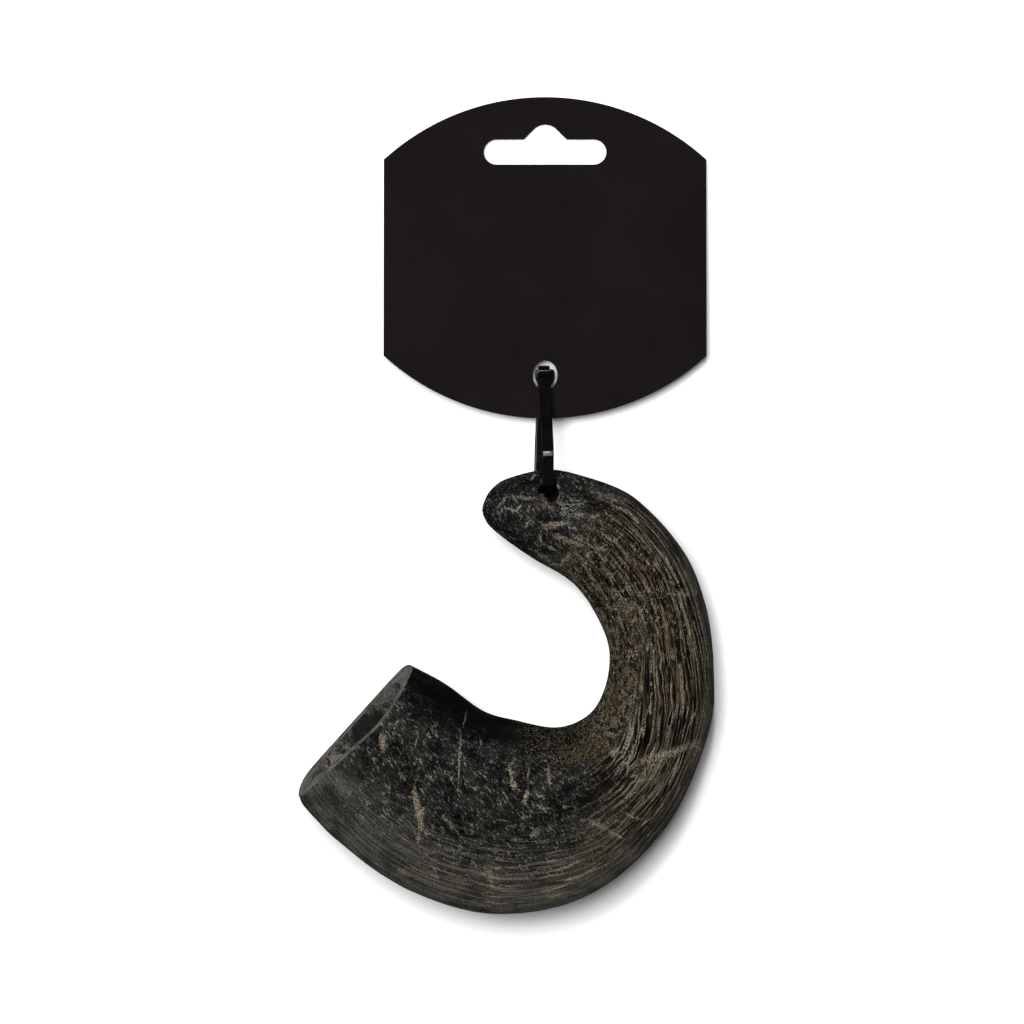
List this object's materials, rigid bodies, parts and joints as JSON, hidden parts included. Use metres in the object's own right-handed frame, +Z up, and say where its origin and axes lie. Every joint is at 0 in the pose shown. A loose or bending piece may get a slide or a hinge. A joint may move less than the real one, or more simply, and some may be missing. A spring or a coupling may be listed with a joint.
{
  "type": "water buffalo horn",
  "caption": "Curved dark water buffalo horn with a sawn hollow base and a drilled tip, looped by a cable tie to a plain black hang card.",
  "frame": {"origin": "on the table, under the middle of the whole object's box", "axes": "+Z up from the table, +Y from the belly of the horn to the top of the card, +X to the right with the card beyond the tip and the camera above"},
  "size_m": [0.1082, 0.2129, 0.0376],
  "materials": {
    "horn": "natural horn, charcoal with tan streaks, satin where worn",
    "nylon": "smooth moulded black nylon",
    "card": "black coated board, satin face"
  },
  "bodies": {
    "root": {"horn": "horn", "cable_tie": "nylon", "hang_card": "card"}
  },
  "joints": []
}
